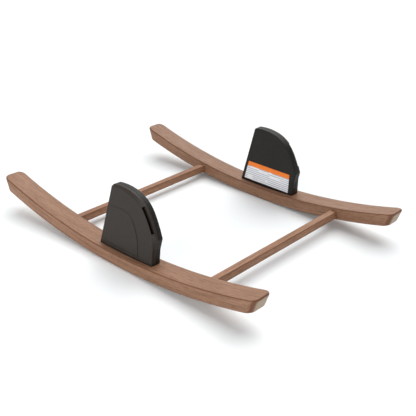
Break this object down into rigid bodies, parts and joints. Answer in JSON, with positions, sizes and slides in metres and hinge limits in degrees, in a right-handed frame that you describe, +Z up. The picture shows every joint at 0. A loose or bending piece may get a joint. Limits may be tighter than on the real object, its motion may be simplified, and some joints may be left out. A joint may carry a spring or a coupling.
{
  "type": "infant carrier rocking stand",
  "caption": "Low rocking stand with curved wooden rockers, square cross bars and black moulded fins that an infant carrier drops onto and latches to.",
  "frame": {"origin": "on the floor under the middle of the stand, midway between the rockers and midway along them", "axes": "+X along the rockers towards the end whose cross bar is further from the middle, +Y across the stand towards the fin with the label, +Z up"},
  "size_m": [0.6824, 0.4552, 0.1573],
  "materials": {
    "walnut": "oiled satin",
    "black_plastic": "fine moulded texture",
    "nylon": "glass-filled nylon",
    "steel_plate": "rolled",
    "zinc_steel": "zinc plated",
    "black_steel": "black oxide",
    "brass": "turned",
    "label": "coated sticker"
  },
  "bodies": {
    "root": {"crossbar_front": "walnut", "crossbar_lock_screws": "zinc_steel", "crossbar_rear": "walnut", "fin_left_core_pins": "zinc_steel", "fin_left_core_plate": "steel_plate", "fin_left_foot_block": "nylon", "fin_left_inner_shell": "black_plastic", "fin_left_mount_screws": "black_steel", "fin_left_mount_washers": "zinc_steel", "fin_left_outer_shell": "black_plastic", "fin_left_shell_screws": "black_steel", "fin_left_threaded_inserts": "brass", "fin_right_blank_label": "label", "fin_right_core_pins": "zinc_steel", "fin_right_core_plate": "steel_plate", "fin_right_foot_block": "nylon", "fin_right_inner_shell": "black_plastic", "fin_right_mount_screws": "black_steel", "fin_right_mount_washers": "zinc_steel", "fin_right_outer_shell": "black_plastic", "fin_right_shell_screws": "black_steel", "fin_right_threaded_inserts": "brass", "rocker_left": "walnut", "rocker_right": "walnut"}
  },
  "joints": []
}
